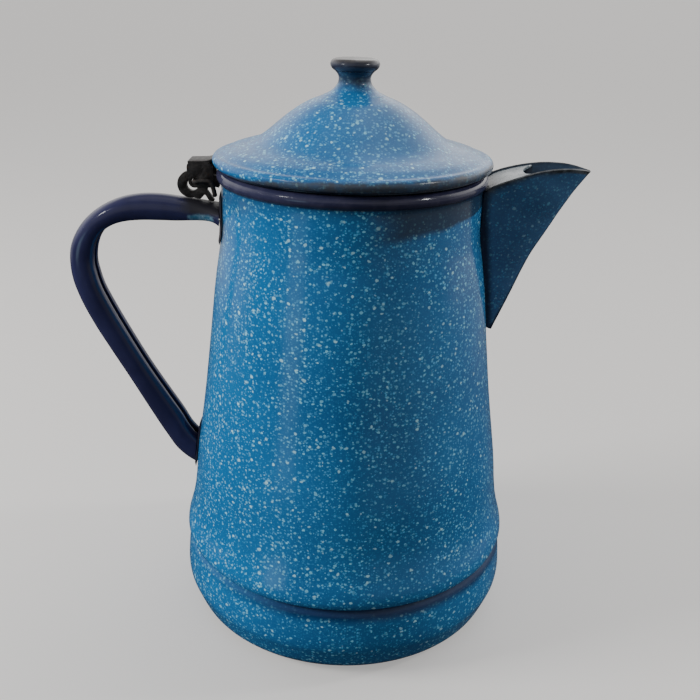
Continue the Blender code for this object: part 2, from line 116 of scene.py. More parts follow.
HANDLE = [
    ((-53.5, 192.0), (-53.5, 182.5), 10.6), ((-56.8, 192.5), (-56.9, 184.2), 9.8),
    ((-59.0, 192.9), (-59.2, 185.5), 8.8), ((-61.8, 193.4), (-62.0, 186.1), 7.8),
    ((-65.8, 194.1), (-65.9, 186.1), 7.0), ((-70.2, 194.7), (-70.3, 185.9), 6.7),
    ((-75.4, 195.5), (-75.6, 185.6), 6.6), ((-83.6, 196.4), (-84.2, 185.6), 6.6),
    ((-92.6, 196.2), (-92.9, 185.4), 6.6), ((-101.4, 194.3), (-99.8, 184.5), 6.6),
    ((-110.2, 190.1), (-105.1, 182.6), 6.6), ((-117.0, 184.6), (-109.2, 179.7), 6.6),
    ((-122.0, 177.8), (-112.1, 175.4), 6.6), ((-124.7, 171.0), (-113.7, 170.0), 6.6),
    ((-125.3, 164.7), (-114.1, 165.2), 6.6), ((-124.7, 157.1), (-113.4, 160.4), 6.6),
    ((-122.3, 148.6), (-112.0, 154.6), 6.6), ((-117.2, 136.7), (-107.9, 144.9), 6.6),
    ((-110.3, 123.7), (-101.2, 131.3), 6.6), ((-102.2, 109.1), (-93.6, 116.9), 6.6),
    ((-93.9, 93.5), (-85.3, 102.8), 6.6), ((-86.5, 80.2), (-78.4, 91.4), 6.7),
    ((-81.0, 71.8), (-74.2, 83.7), 6.8), ((-76.0, 67.4), (-70.6, 79.6), 7.0),
    ((-69.4, 63.7), (-65.4, 75.6), 7.2),
]
HANDLE_SHEET = 1.2
HANDLE_SLOT = 0.27
UPPER_TAB = (175.5, 198.9, 11.0, 12.4)  # foot, top, half-width there and at the top
LOWER_TAB = (64.6, 88.6, 9.2, 8.0)
TAB_SHEET = 0.8

PIN = (-67.2, 203.3)
PIN_R = 1.0
EYE = (-69.85, 200.95)  # centre of the lug's round back
EYE_R = 5.8
EYE_HALF_WIDTH = 1.3
EYE_HOLE = (-69.2, 200.6)  # the slot runs from here up to the pin
EYE_HOLE_R, EYE_PIN_R = 2.4, 1.25
EYE_FOOT = [  # the lug's foot, its brace and the arm to the rim, back to the top
    (-66.9, 194.75), (-65.7, 194.75), (-63.8, 196.8), (-62.35, 194.35),
    (-61.9, 193.95), (-60.2, 193.75), (-59.8, 194.1), (-60.3, 195.0),
    (-62.0, 197.4), (-62.9, 198.7), (-62.5, 199.7), (-61.0, 200.25),
    (-58.6, 200.0), (-57.75, 199.7), (-57.4, 200.3), (-57.4, 202.9),
    (-58.05, 204.75), (-59.3, 205.1), (-62.6, 205.2), (-64.8, 205.4),
]
EAR_IN, EAR_OUT = 5.3, 6.3
EAR_HOLE_R = 1.28
EAR_LOBE_R = 2.7
EAR_TOP = [  # from the lid side over the top and down the back
    (-59.7, 210.3), (-60.9, 211.0), (-60.9, 211.7), (-67.2, 211.5), (-69.1, 211.4),
    (-70.1, 210.7), (-70.4, 209.7), (-70.4, 205.5), (-70.1, 204.5),
]
EAR_BOTTOM = [(-60.3, 200.8), (-59.6, 201.3), (-59.4, 202.0), (-59.4, 209.6)]
CLEVIS_TOP = [  # upper face of the strap, from its rear end to the lid
    (-69.9, 211.85), (-66.0, 211.95), (-61.6, 212.3), (-60.2, 212.75),
    (-58.6, 213.35), (-56.4, 213.8), (-53.4, 214.8),
]
CLEVIS_SHEET = 0.8

LID_SHEET = 1.0
LID_CURL = (57.2, 213.3, 2.5)
LID_TOP = [
    (8.9, 241.6), (10.6, 240.85), (14.6, 239.1), (18.8, 237.4), (23.0, 235.1),
    (27.3, 232.2), (31.6, 228.8), (36.0, 225.1), (40.4, 221.9), (44.7, 220.1),
    (49.0, 218.9), (53.3, 217.6),
]
COLLAR_SKIRT = (51.0, 50.0, 201.0)
COLLAR_FLANGE = (56.4, 209.95, 210.65)
NOTCH_HALF_WIDTH = 6.9
KNOB_NECK = [
    (9.9, 242.0), (8.3, 242.9), (7.1, 244.6), (6.75, 246.4), (6.9, 247.6),
    (7.35, 248.5),
]
KNOB_CAP_R, KNOB_CAP_Z = 10.3, (249.6, 254.6)


# ------------------------------------------------------------- mesh helpers
def offset(curve, distance):
    out = []
    for i, p in enumerate(curve):
        a = Vector(curve[max(i - 1, 0)])
        b = Vector(curve[min(i + 1, len(curve) - 1)])
        p = Vector(p)
        if 0 < i < len(curve) - 1:
            d0, d1 = (p - a).normalized(), (b - p).normalized()
            n0, n1 = Vector((-d0.y, d0.x)), Vector((-d1.y, d1.x))
            n = (n0 + n1).normalized()
            n = n / max(n.dot(n0), 0.5)
        else:
            d = (b - a).normalized()
            n = Vector((-d.y, d.x))
        out.append(tuple(p + n * distance))
    return out


def arc(centre, radius, start, end, count):
    out = []
    for i in range(count + 1):
        a = math.radians(start + (end - start) * i / count)
        out.append((centre[0] + radius * math.cos(a), centre[1] + radius * math.sin(a)))
    return out


def catmull(rows, per):
    """Centripetal enough for these lists: chord-aware cubic through each row."""
    out = []
    for i in range(len(rows) - 1):
        p0, p1 = rows[max(i - 1, 0)], rows[i]
        p2, p3 = rows[i + 1], rows[min(i + 2, len(rows) - 1)]
        l0 = max(math.dist(p0, p1), 1e-6)
        l1 = max(math.dist(p1, p2), 1e-6)
        l2 = max(math.dist(p2, p3), 1e-6)
        for s in range(per):
            t = s / per
            row = []
            for a, b, c, d in zip(p0, p1, p2, p3):
                m1 = ((b - a) / l0 * l1 + (c - b) / l1 * l0) / (l0 + l1) if p0 is not p1 else (c - b) / l1
                m2 = ((c - b) / l1 * l2 + (d - c) / l2 * l1) / (l1 + l2) if p3 is not p2 else (c - b) / l1
                m1, m2 = m1 * l1, m2 * l1
                h = t * t * (3 - 2 * t)
                row.append(b + (c - b) * h + m1 * (t - 2 * t * t + t ** 3) + m2 * (t ** 3 - t * t))
            out.append(row)
    out.append(list(rows[-1]))
    return out


def smooth(curve, per=4):
    return [tuple(p) for p in catmull([list(p) for p in curve], per)]


def solid(name, points, faces, sharp=38.0):
    mesh = bpy.data.meshes.new(name)
    mesh.from_pydata([tuple(MM * c for c in p) for p in points], [], faces)
    bm = bmesh.new()
    bm.from_mesh(mesh)
    bmesh.ops.remove_doubles(bm, verts=bm.verts, dist=1e-7)
    bmesh.ops.recalc_face_normals(bm, faces=bm.faces)
    if bm.calc_volume(signed=True) < 0:
        bmesh.ops.reverse_faces(bm, faces=bm.faces)
    bm.to_mesh(mesh)
    bm.free()
    obj = bpy.data.objects.new(name, mesh)
    bpy.context.scene.collection.objects.link(obj)
    mesh.shade_smooth()
    mesh.set_sharp_from_angle(angle=math.radians(sharp))
    return obj


def turned(name, loop, segs=SEGS, sharp=38.0, wobble=None):
    """A closed (r, z) loop turned about Z; wobble(angle, z) adds to the radius."""
    points, rings = [], []
    for r, z in loop:
        if r < 1e-6:
            rings.append([len(points)] * segs)
            points.append((0.0, 0.0, z))
            continue
        rings.append(list(range(len(points), len(points) + segs)))
        for k in range(segs):
            a = 2 * math.pi * k / segs
            q = r + (wobble(a, z) if wobble else 0.0)
            points.append((q * math.cos(a), q * math.sin(a), z))
    faces = []
    for i, ring in enumerate(rings):
        other = rings[(i + 1) % len(rings)]
        if ring[0] == ring[1] and other[0] == other[1]:
            continue
        for k in range(segs):
            n = (k + 1) % segs
            face = []
            for v in (ring[k], ring[n], other[n], other[k]):
                if v not in face:
                    face.append(v)
            faces.append(face)
    return solid(name, points, faces, sharp)


def prism(name, loop, y0, y1, sharp=30.0):
    n = len(loop)
    points = [(x, y0, z) for x, z in loop] + [(x, y1, z) for x, z in loop]
    faces = [list(range(n)), list(range(2 * n - 1, n - 1, -1))]
    faces += [[i, (i + 1) % n, n + (i + 1) % n, n + i] for i in range(n)]
    return solid(name, points, faces, sharp)


def skin(name, sections, sharp=38.0):
    n = len(sections[0])
    points = [p for s in sections for p in s]
    faces = []
    for j in range(len(sections) - 1):
        for i in range(n):
            k = (i + 1) % n
            faces.append([j * n + i, j * n + k, (j + 1) * n + k, (j + 1) * n + i])
    for base in (0, (len(sections) - 1) * n):
        for i in range(n // 2 - 1):
            faces.append([base + i, base + i + 1, base + n - 2 - i, base + n - 1 - i])
    return solid(name, points, faces, sharp)


def tube(name, path, radius, sides=24, round_ends=True):
    """A round wire along a smooth 3-D path, with domed ends."""
    path = [Vector(p) for p in catmull([list(p) for p in path], 5)]
    points, faces, radii = [], [], [radius] * len(path)
    if round_ends:
        for end, step in ((0, 1), (len(path) - 1, -1)):
            d = (path[end] - path[end + step]).normalized()
            extra = []
            for q in (30, 55, 75, 88):
                extra.append((path[end] + d * radius * 0.6 * math.sin(math.radians(q)), radius * math.cos(math.radians(q))))
            if end == 0:
                path = [e[0] for e in extra[::-1]] + path
                radii = [e[1] for e in extra[::-1]] + radii
            else:
                path = path + [e[0] for e in extra]
                radii = radii + [e[1] for e in extra]
            if end == 0:
                shift = len(extra)
                # the far end's index has moved by the points just added
                far = len(path) - 1
                d2 = (path[far] - path[far - 1]).normalized()
                tail = [(path[far] + d2 * radius * 0.6 * math.sin(math.radians(q)), radius * math.cos(math.radians(q))) for q in (30, 55, 75, 88)]
                path = path + [e[0] for e in tail]
                radii = radii + [e[1] for e in tail]
                break
    side = Vector((0, 0, 1))
    for i, p in enumerate(path):
        d = (path[min(i + 1, len(path) - 1)] - path[max(i - 1, 0)]).normalized()
        u = (side - d * side.dot(d)).normalized()
        side = u
        v = d.cross(u)
        for k in range(sides):
            a = 2 * math.pi * k / sides
            points.append(tuple(p + radii[i] * (math.cos(a) * u + math.sin(a) * v)))
    for i in range(len(path) - 1):
        for k in range(sides):
            n = (k + 1) % sides
            faces.append([i * sides + k, i * sides + n, (i + 1) * sides + n, (i + 1) * sides + k])
    faces.append(list(range(sides)))
    faces.append(list(range((len(path) - 1) * sides, len(path) * sides)))
    return solid(name, points, faces)


def apply_modifiers(obj):
    graph = bpy.context.evaluated_depsgraph_get()
    mesh = bpy.data.meshes.new_from_object(obj.evaluated_get(graph), preserve_all_data_layers=True, depsgraph=graph)
    old = obj.data
    obj.modifiers.clear()
    obj.data = mesh
    bpy.data.meshes.remove(old)


def combine(obj, other, operation, sharp=38.0):
    mod = obj.modifiers.new("b", "BOOLEAN")
    mod.operation = operation
    mod.solver = "EXACT"
    mod.object = other
    bpy.context.view_layer.update()
    apply_modifiers(obj)
    bpy.data.objects.remove(other, do_unlink=True)
    obj.data.shade_smooth()
    obj.data.set_sharp_from_angle(angle=math.radians(sharp))


def bevelled(obj, width, segments=2, angle=35.0):
    mod = obj.modifiers.new("edge", "BEVEL")
    mod.width = width * MM
    mod.segments = segments
    mod.limit_method = "ANGLE"
    mod.angle_limit = math.radians(angle)
    mod.harden_normals = False
    bpy.context.view_layer.update()
    apply_modifiers(obj)
    obj.data.shade_smooth()
    obj.data.set_sharp_from_angle(angle=math.radians(60))


def at(curve, z):
    for (r0, z0), (r1, z1) in zip(curve, curve[1:]):
        if z0 <= z <= z1:
            return r0 + (r1 - r0) * (z - z0) / (z1 - z0)
    return curve[-1][0] if z > curve[-1][1] else curve[0][0]


# ---------------------------------------------------------------- materials
class Shader:
    """A Principled material and short calls for the nodes in front of it."""

    def __init__(self, name, roughness=0.2, metallic=0.0, ior=1.5):
        self.mat = bpy.data.materials.new(name)
        self.mat.use_nodes = True
        self.tree = self.mat.node_tree
        self.bsdf = self.tree.nodes["Principled BSDF"]
        self.bsdf.inputs["Roughness"].default_value = roughness
        self.bsdf.inputs["Metallic"].default_value = metallic
        self.bsdf.inputs["IOR"].default_value = ior
        self.coord = self.tree.nodes.new("ShaderNodeTexCoord").outputs["Object"]
        parts = self.tree.nodes.new("ShaderNodeSeparateXYZ")
        self.link(self.coord, parts.inputs[0])
        self.x, self.y, self.z = parts.outputs

    def link(self, a, b):
        self.tree.links.new(a, b)

    def feed(self, socket, value):
        if isinstance(value, bpy.types.NodeSocket):
            self.link(value, socket)
        else:
            socket.default_value = value

    def math(self, op, a, b=0.0, c=0.0, clamp=False):
        n = self.tree.nodes.new("ShaderNodeMath")
        n.operation = op
        n.use_clamp = clamp
        for socket, value in zip(n.inputs, (a, b, c)):
            self.feed(socket, value)
        return n.outputs[0]

    def vmath(self, op, a, b=None, scale=None):
        n = self.tree.nodes.new("ShaderNodeVectorMath")
        n.operation = op
        self.feed(n.inputs[0], a)
        if b is not None:
            self.feed(n.inputs[1], b)
        if scale is not None:
            self.feed(n.inputs["Scale"], scale)
        return n.outputs["Value"] if op in ("LENGTH", "DOT_PRODUCT", "DISTANCE") else n.outputs[0]

    def noise(self, scale, detail=2.0, rough=0.5, vector=None, colour=False, distortion=0.0):
        n = self.tree.nodes.new("ShaderNodeTexNoise")
        self.link(vector or self.coord, n.inputs["Vector"])
        n.inputs["Scale"].default_value = scale
        n.inputs["Detail"].default_value = detail
        n.inputs["Roughness"].default_value = rough
        n.inputs["Distortion"].default_value = distortion
        return n.outputs["Color" if colour else "Fac"]

    def ramp(self, value, low, high, smoothstep=True):
        """0 below low, 1 above high; low may be the larger one."""
        n = self.tree.nodes.new("ShaderNodeMapRange")
        n.interpolation_type = "SMOOTHSTEP" if smoothstep else "LINEAR"
        n.clamp = True
        self.feed(n.inputs["Value"], value)
        a, b = (0.0, 1.0) if low < high else (1.0, 0.0)
        n.inputs["From Min"].default_value = min(low, high)
        n.inputs["From Max"].default_value = max(low, high)
        n.inputs["To Min"].default_value = a
        n.inputs["To Max"].default_value = b
        return n.outputs["Result"]

    def mix(self, factor, a, b, blend="MIX"):
        n = self.tree.nodes.new("ShaderNodeMix")
        n.data_type = "RGBA"
        n.blend_type = blend
        n.clamp_factor = True
        self.feed(n.inputs["Factor"], factor)
        for socket, value in ((n.inputs[6], a), (n.inputs[7], b)):
            self.feed(socket, value if isinstance(value, bpy.types.NodeSocket) else (*value, 1.0))
        return n.outputs[2]

    def bump(self, height, strength, distance):
        n = self.tree.nodes.new("ShaderNodeBump")
        n.inputs["Strength"].default_value = strength
        n.inputs["Distance"].default_value = distance
        self.feed(n.inputs["Height"], height)
        return n.outputs["Normal"]

    def dots(self, cell, gain, floor, edge, squash=1.0, wobble=0.35, seed=0.0):
        """Irregular spatters: a share of the cells, each `cell` mm across, holds
        one; its radius in cells is gain * random - floor. Gives (mask, random)."""
        bent = self.noise(1000.0 / (cell * 0.8), 2.0, 0.6, colour=True)
        bent = self.vmath("SUBTRACT", bent, (0.5, 0.5, 0.5))
        bent = self.vmath("SCALE", bent, scale=wobble * cell * MM)
        where = self.vmath("ADD", self.coord, bent)
        where = self.vmath("MULTIPLY", where, (1.0, 1.0, squash))
        where = self.vmath("ADD", where, (seed, seed * 0.7, seed * 0.3))
        n = self.tree.nodes.new("ShaderNodeTexVoronoi")
        n.voronoi_dimensions = "3D"
        n.feature = "F1"
        self.link(where, n.inputs["Vector"])
        n.inputs["Scale"].default_value = 1000.0 / cell
        pick = self.tree.nodes.new("ShaderNodeSeparateColor")
        self.link(n.outputs["Color"], pick.inputs[0])
        radius = self.math("MULTIPLY_ADD", pick.outputs[0], gain, -floor)
        mask = self.math("SUBTRACT", radius, n.outputs["Distance"])
        mask = self.math("MULTIPLY_ADD", mask, 1.0 / edge, 0.5, clamp=True)
        return mask, pick.outputs[1]

    def finish(self, colour, roughness=None, normal=None, metallic=None):
        self.feed(self.bsdf.inputs["Base Color"], colour)
        if roughness is not None:
            self.link(roughness, self.bsdf.inputs["Roughness"])
        if metallic is not None:
            self.link(metallic, self.bsdf.inputs["Metallic"])
        if normal is not None:
            self.link(normal, self.bsdf.inputs["Normal"])
        return self.mat


BLUE_DEEP = (0.0120, 0.130, 0.360)
BLUE_LIGHT = (0.0175, 0.162, 0.425)
SPECK_PALE = (0.46, 0.86, 1.0)
SPECK_BLUE = (0.06, 0.36, 0.72)
NAVY = (0.010, 0.011, 0.040)


def speckle(s, amount=1.0, base=None):
    """The enamel's blue ground with a mist and three sizes of spatter."""
    cloud = s.ramp(s.noise(22.0, 3.0, 0.55), 0.36, 0.66)
    ground = base or s.mix(cloud, BLUE_DEEP, BLUE_LIGHT)
    mottled = s.ramp(s.noise(1500.0, 2.0, 0.6), 0.44, 0.72)
    ground = s.mix(s.math("MULTIPLY", mottled, 0.22 * amount), ground, (0.05, 0.25, 0.46))
    # the spray lies thicker in some places than in others
    patch = s.ramp(s.noise(48.0, 3.0, 0.6), 0.30, 0.66)
    thick = s.math("MULTIPLY_ADD", patch, 0.55, 0.45)
    mist, r0 = s.dots(0.78, 0.52, 0.09, 0.24, seed=3.1)
    share = s.math("MULTIPLY", mist, s.math("MULTIPLY_ADD", r0, 0.55, 0.12))
    ground = s.mix(s.math("MULTIPLY", s.math("MULTIPLY", share, thick), 0.80 * amount), ground, SPECK_BLUE)
    fine, r1 = s.dots(1.08, 0.64, 0.07, 0.18, squash=1.2, wobble=0.60, seed=0.37)
    share = s.math("MULTIPLY", fine, s.math("MULTIPLY_ADD", s.math("POWER", r1, 2.0), 0.90, 0.10))
    ground = s.mix(s.math("MULTIPLY", s.math("MULTIPLY", share, thick), amount), ground, (0.16, 0.60, 1.0))
    mid, r2 = s.dots(1.66, 0.62, 0.155, 0.13, squash=1.25, wobble=0.70, seed=1.73)
    share = s.math("MULTIPLY", mid, s.math("MULTIPLY_ADD", r2, 0.66, 0.30))
    ground = s.mix(s.math("MULTIPLY", s.math("MULTIPLY", share, s.math("MULTIPLY_ADD", patch, 0.25, 0.75)), amount), ground, (0.27, 0.75, 1.0))
    large, r3 = s.dots(3.1, 0.45, 0.185, 0.09, squash=1.15, wobble=0.62, seed=5.21)
    share = s.math("MULTIPLY", large, s.math("MULTIPLY_ADD", r3, 0.32, 0.68))
    ground = s.mix(s.math("MULTIPLY", share, amount), ground, SPECK_PALE)
    relief = s.math("MAXIMUM", mid, large)
    return ground, relief


def enamel_surface(s, relief=None, base_rough=0.15, wave=1.0):
    """Gloss that varies a little, with the sag of a dipped and fired coat."""
    broad = s.noise(20.0, 1.0, 0.4)
    close = s.noise(330.0, 2.0, 0.5)
    height = s.math("MULTIPLY_ADD", close, 0.035, s.math("MULTIPLY", broad, wave))
    if relief is not None:
        height = s.math("MULTIPLY_ADD", relief, 0.05, height)
    normal = s.bump(height, 1.0, 0.00028)
    haze = s.noise(120.0, 3.0, 0.6)
    rough = s.math("MULTIPLY_ADD", s.ramp(haze, 0.35, 0.75), 0.09, base_rough)
    return rough, normal


def body_material():
    s = Shader("body_enamel")
    colour, relief = speckle(s)
    # thin dark spray and painted rim shadow under the rolled rim
    reach = s.math("MULTIPLY_ADD", s.ramp(s.x, -0.030, -0.055), -0.0060, 0.2022)
    reach = s.math("MULTIPLY_ADD", s.noise(90.0, 3.0, 0.6), -0.004, reach)
    spray_and_rim_shadow = s.math("SUBTRACT", s.z, reach)
    spray_and_rim_shadow = s.math("MULTIPLY", s.ramp(spray_and_rim_shadow, -0.0035, 0.0050), 0.42)
    colour = s.mix(spray_and_rim_shadow, colour, (0.022, 0.036, 0.055))
    # and a wedge of dark coat and painted rim shadow that runs out towards the spout
    swing = s.math("ARCTAN2", s.x, s.math("MULTIPLY", s.y, -1.0))
    depth = s.math("MULTIPLY_ADD", swing, -0.0059, 0.0146)
    depth = s.math("MULTIPLY_ADD", s.noise(70.0, 2.0, 0.5), 0.0024, depth)
    coat_and_shadow_wedge = s.math("ADD", s.z, s.math("SUBTRACT", depth, 0.2052))
    soft = s.math("MULTIPLY", s.ramp(swing, 1.1, 0.3), 0.0040)
    coat_and_shadow_wedge = s.math("DIVIDE", s.math("ADD", coat_and_shadow_wedge, s.math("MULTIPLY", soft, 0.5)), s.math("ADD", soft, 0.0011))
    coat_and_shadow_wedge = s.math("MULTIPLY", s.ramp(coat_and_shadow_wedge, 0.0, 1.0), s.math("MULTIPLY", s.ramp(swing, 0.04, 0.42), s.ramp(swing, 1.75, 1.55)))
    colour = s.mix(s.math("MULTIPLY", coat_and_shadow_wedge, 0.80), colour, (0.012, 0.018, 0.034))
    # a dark halo by the upper saddle: spray, and painted shade along the saddle's edge
    spray_and_shade_halo = s.math("MULTIPLY_ADD", s.noise(110.0, 3.0, 0.6), 0.008, s.math("ABSOLUTE", s.y))
    spray_and_shade_halo = s.math("MULTIPLY", s.ramp(spray_and_shade_halo, 0.0245, 0.0165), s.ramp(s.x, -0.040, -0.048))
    spray_and_shade_halo = s.math("MULTIPLY", spray_and_shade_halo, s.ramp(s.z, 0.1700, 0.1840))
    colour = s.mix(s.math("MULTIPLY", spray_and_shade_halo, 0.80), colour, (0.020, 0.026, 0.038))
    bead = s.ramp(s.z, 0.2036, 0.2044)
    bead_tint = s.mix(s.ramp(s.noise(160.0, 3.0, 0.6), 0.4, 0.7), (0.030, 0.032, 0.076), (0.048, 0.048, 0.098))
    colour = s.mix(bead, colour, bead_tint)
    # the seam over the base pan keeps a thin dark line
    seam = s.ramp(s.z, 0.0362, 0.0356)
    colour = s.mix(s.math("MULTIPLY", seam, 0.5), colour, (0.006, 0.022, 0.060))
    rough, normal = enamel_surface(s, relief)
    rough = s.math("MULTIPLY_ADD", bead, -0.06, rough)
    return s.finish(colour, rough, normal)


def base_material():
    s = Shader("base_enamel")
    colour, relief = speckle(s)
    foot = s.math("MULTIPLY_ADD", s.noise(110.0, 3.0, 0.6), 0.006, s.z)
    foot = s.ramp(foot, 0.0095, 0.0030)
    colour = s.mix(s.math("MULTIPLY", foot, 0.92), colour, (0.006, 0.010, 0.024))
    # painted shade in the hollow under the seam, most on the spout side
    seam = s.math("MULTIPLY_ADD", s.noise(60.0, 2.0, 0.5), 0.0022, s.z)
    seam = s.ramp(seam, 0.0290, 0.0345)
    lean = s.math("MULTIPLY_ADD", s.ramp(s.math("MULTIPLY_ADD", s.y, -0.4, s.x), -0.050, 0.020), 0.66, 0.30)
    colour = s.mix(s.math("MULTIPLY", seam, lean), colour, (0.0020, 0.024, 0.098))
    rough, normal = enamel_surface(s, relief)
    rough = s.math("MULTIPLY_ADD", s.ramp(s.z, 0.0315, 0.0335), 0.40, rough)
    return s.finish(colour, rough, normal)


def lid_material():
    s = Shader("lid_enamel")
    colour, relief = speckle(s)
    # the dip's dark coat creeps up the rolled edge, its grey also a painted pale reflection, most at the front right
    turn = s.ramp(s.math("MULTIPLY_ADD", s.y, -0.55, s.x), -0.028, 0.022)
    rim_coat_and_sheen = s.math("MULTIPLY_ADD", turn, -0.0034, s.z)
    rim_coat_and_sheen = s.math("MULTIPLY_ADD", s.noise(95.0, 4.0, 0.65), -0.0032, rim_coat_and_sheen)
    rim_coat_and_sheen = s.ramp(rim_coat_and_sheen, 0.2108, 0.2092)
    patchy = s.math("MULTIPLY_ADD", s.ramp(s.noise(170.0, 3.0, 0.6), 0.36, 0.60), 0.20, 0.74)
    colour = s.mix(s.math("MULTIPLY", rim_coat_and_sheen, patchy), colour, (0.075, 0.080, 0.092))
    rough, normal = enamel_surface(s, relief, 0.20)
    return s.finish(colour, rough, normal)


def neck_material():
    s = Shader("knob_neck_enamel")
    colour, relief = speckle(s)
    dark = s.math("MULTIPLY_ADD", s.noise(300.0, 3.0, 0.6), -0.0026, s.z)
    dark = s.ramp(dark, 0.2395, 0.2452)
    colour = s.mix(s.math("MULTIPLY", dark, 0.90), colour, (0.022, 0.034, 0.058))
    rough, normal = enamel_surface(s, relief, 0.20)
    return s.finish(colour, rough, normal)


def cap_material():
    s = Shader("knob_cap_enamel")
    # mottled, with the top painted a lighter grey-brown for the light falling on it
    worn = s.ramp(s.noise(230.0, 4.0, 0.65), 0.42, 0.68)
    over = s.ramp(s.math("MULTIPLY_ADD", s.noise(260.0, 3.0, 0.6), 0.002, s.z), 0.2535, 0.2552)
    lit_top_tint = s.mix(worn, (0.052, 0.050, 0.056), (0.090, 0.085, 0.085))
    colour = s.mix(over, (0.034, 0.040, 0.066), lit_top_tint)
    rough, normal = enamel_surface(s, None, 0.18)
    return s.finish(colour, rough, normal)


def spout_material():
    s = Shader("spout_enamel")
    drift = s.noise(45.0, 3.0, 0.6)
    base = s.mix(s.ramp(drift, 0.35, 0.68), (0.048, 0.128, 0.290), (0.062, 0.168, 0.360))
    colour, relief = speckle(s, 0.40, base)
    # darker where the spout meets the body: dark spray and painted shade in the join
    radial = s.vmath("LENGTH", s.vmath("MULTIPLY", s.coord, (1.0, 1.0, 0.0)))
    wall = s.math("MAXIMUM", s.math("MULTIPLY_ADD", s.z, -0.1165, 0.0786), 0.0563)
    join_spray_and_shade = s.math("SUBTRACT", radial, wall)
    join_spray_and_shade = s.math("MULTIPLY_ADD", s.noise(200.0, 3.0, 0.6), -0.0012, join_spray_and_shade)
    join_spray_and_shade = s.ramp(join_spray_and_shade, 0.0042, 0.0004)
    colour = s.mix(s.math("MULTIPLY", join_spray_and_shade, 0.88), colour, (0.008, 0.011, 0.028))
    attr = s.tree.nodes.new("ShaderNodeAttribute")
    attr.attribute_name = "edge"
    colour = s.mix(s.math("MULTIPLY", attr.outputs["Fac"], 0.9), colour, (0.007, 0.008, 0.026))
    lip = s.tree.nodes.new("ShaderNodeAttribute")
    lip.attribute_name = "lip"
    worn = s.ramp(s.noise(260.0, 4.0, 0.65), 0.34, 0.64)
    lip_tint = s.mix(worn, (0.030, 0.036, 0.046), (0.105, 0.125, 0.145))
    colour = s.mix(lip.outputs["Fac"], colour, lip_tint)
    # the inner faces painted darker: painted shade inside the spout's channel
    within = s.tree.nodes.new("ShaderNodeAttribute")
    within.attribute_name = "within"
    colour = s.mix(s.math("MULTIPLY", within.outputs["Fac"], 0.8), colour, (0.018, 0.042, 0.085))
    rough, normal = enamel_surface(s, relief, 0.20)
    return s.finish(colour, rough, normal)


def bridge_material():
    s = Shader("bridge_enamel")
    # the plate's pale grey is a painted sheen from the light on its top, mottled in patches
    worn = s.ramp(s.noise(150.0, 4.0, 0.6), 0.36, 0.62)
    colour = s.mix(worn, (0.10, 0.15, 0.19), (0.30, 0.36, 0.40))
    chips = s.ramp(s.noise(330.0, 3.0, 0.6), 0.60, 0.70)
    colour = s.mix(s.math("MULTIPLY", chips, 0.45), colour, (0.03, 0.04, 0.055))
    back = s.math("MULTIPLY_ADD", s.noise(240.0, 3.0, 0.6), 0.006, s.x)
    back = s.ramp(back, 0.0665, 0.0618)
    colour = s.mix(s.math("MULTIPLY", back, 0.85), colour, (0.016, 0.022, 0.034))
    rough, normal = enamel_surface(s, None, 0.22)
    return s.finish(colour, rough, normal)


def handle_material(name="handle_enamel"):
    s = Shader(name)
    tint = s.ramp(s.noise(55.0, 3.0, 0.55), 0.35, 0.7)
    colour = s.mix(tint, (0.0200, 0.0215, 0.066), (0.0280, 0.0300, 0.090))
    scuff = s.ramp(s.noise(420.0, 4.0, 0.7), 0.62, 0.78)
    colour = s.mix(s.math("MULTIPLY", scuff, 0.20), colour, (0.09, 0.09, 0.11))
    # bare blue left where the handle was held for dipping
    spot = s.vmath("SUBTRACT", s.coord, (-0.0640, -0.0060, 0.1874))
    spot = s.vmath("LENGTH", s.vmath("MULTIPLY", spot, (0.55, 1.0, 1.6)))
    spot = s.math("MULTIPLY_ADD", s.noise(420.0, 3.0, 0.6), 0.003, spot)
    spot = s.ramp(spot, 0.0060, 0.0044)
    worn = s.ramp(s.noise(300.0, 3.0, 0.6), 0.40, 0.62)
    colour = s.mix(s.math("MULTIPLY", spot, 0.85), colour, s.mix(worn, (0.050, 0.160, 0.250), (0.20, 0.36, 0.46)))
    # dull burnt coat round the hinge's foot
    burnt = s.math("MULTIPLY_ADD", s.noise(160.0, 3.0, 0.6), 0.010, s.x)
    burnt = s.math("MULTIPLY", s.ramp(burnt, -0.0720, -0.0640), s.ramp(s.z, 0.1880, 0.1905))
    colour = s.mix(s.math("MULTIPLY", burnt, 0.9), colour, (0.020, 0.019, 0.021))
    # a chip on the heel, down to the white ground coat
    chip = s.vmath("SUBTRACT", s.coord, (-0.0672, -0.0072, 0.0665))
    chip = s.vmath("LENGTH", s.vmath("MULTIPLY", chip, (1.3, 0.8, 0.62)))
    chip = s.math("MULTIPLY_ADD", s.noise(700.0, 3.0, 0.6), 0.0016, chip)
    colour = s.mix(s.ramp(chip, 0.0020, 0.0014), colour, (0.42, 0.47, 0.52))
    rough, normal = enamel_surface(s, None, 0.12, 0.8)
    rough = s.math("MULTIPLY_ADD", burnt, 0.38, rough)
    return s.finish(colour, rough, normal)


def saddle_material(name):
    """The tabs' coat is thicker and duller, browned in patches."""
    s = Shader(name)
    s.bsdf.inputs["Specular IOR Level"].default_value = 0.28
    tint = s.ramp(s.noise(120.0, 3.0, 0.6), 0.35, 0.68)
    colour = s.mix(tint, (0.010, 0.011, 0.026), (0.026, 0.024, 0.028))
    scuff = s.ramp(s.noise(480.0, 4.0, 0.7), 0.62, 0.76)
    colour = s.mix(s.math("MULTIPLY", scuff, 0.35), colour, (0.13, 0.12, 0.12))
    rough, normal = enamel_surface(s, None, 0.38, 0.8)
    return s.finish(colour, rough, normal)


def collar_material():
    s = Shader("lid_collar_enamel")
    tint = s.ramp(s.noise(80.0, 3.0, 0.55), 0.35, 0.7)
    colour = s.mix(tint, (0.010, 0.020, 0.045), (0.016, 0.045, 0.085))
    rough, normal = enamel_surface(s, None, 0.22)
    return s.finish(colour, rough, normal)


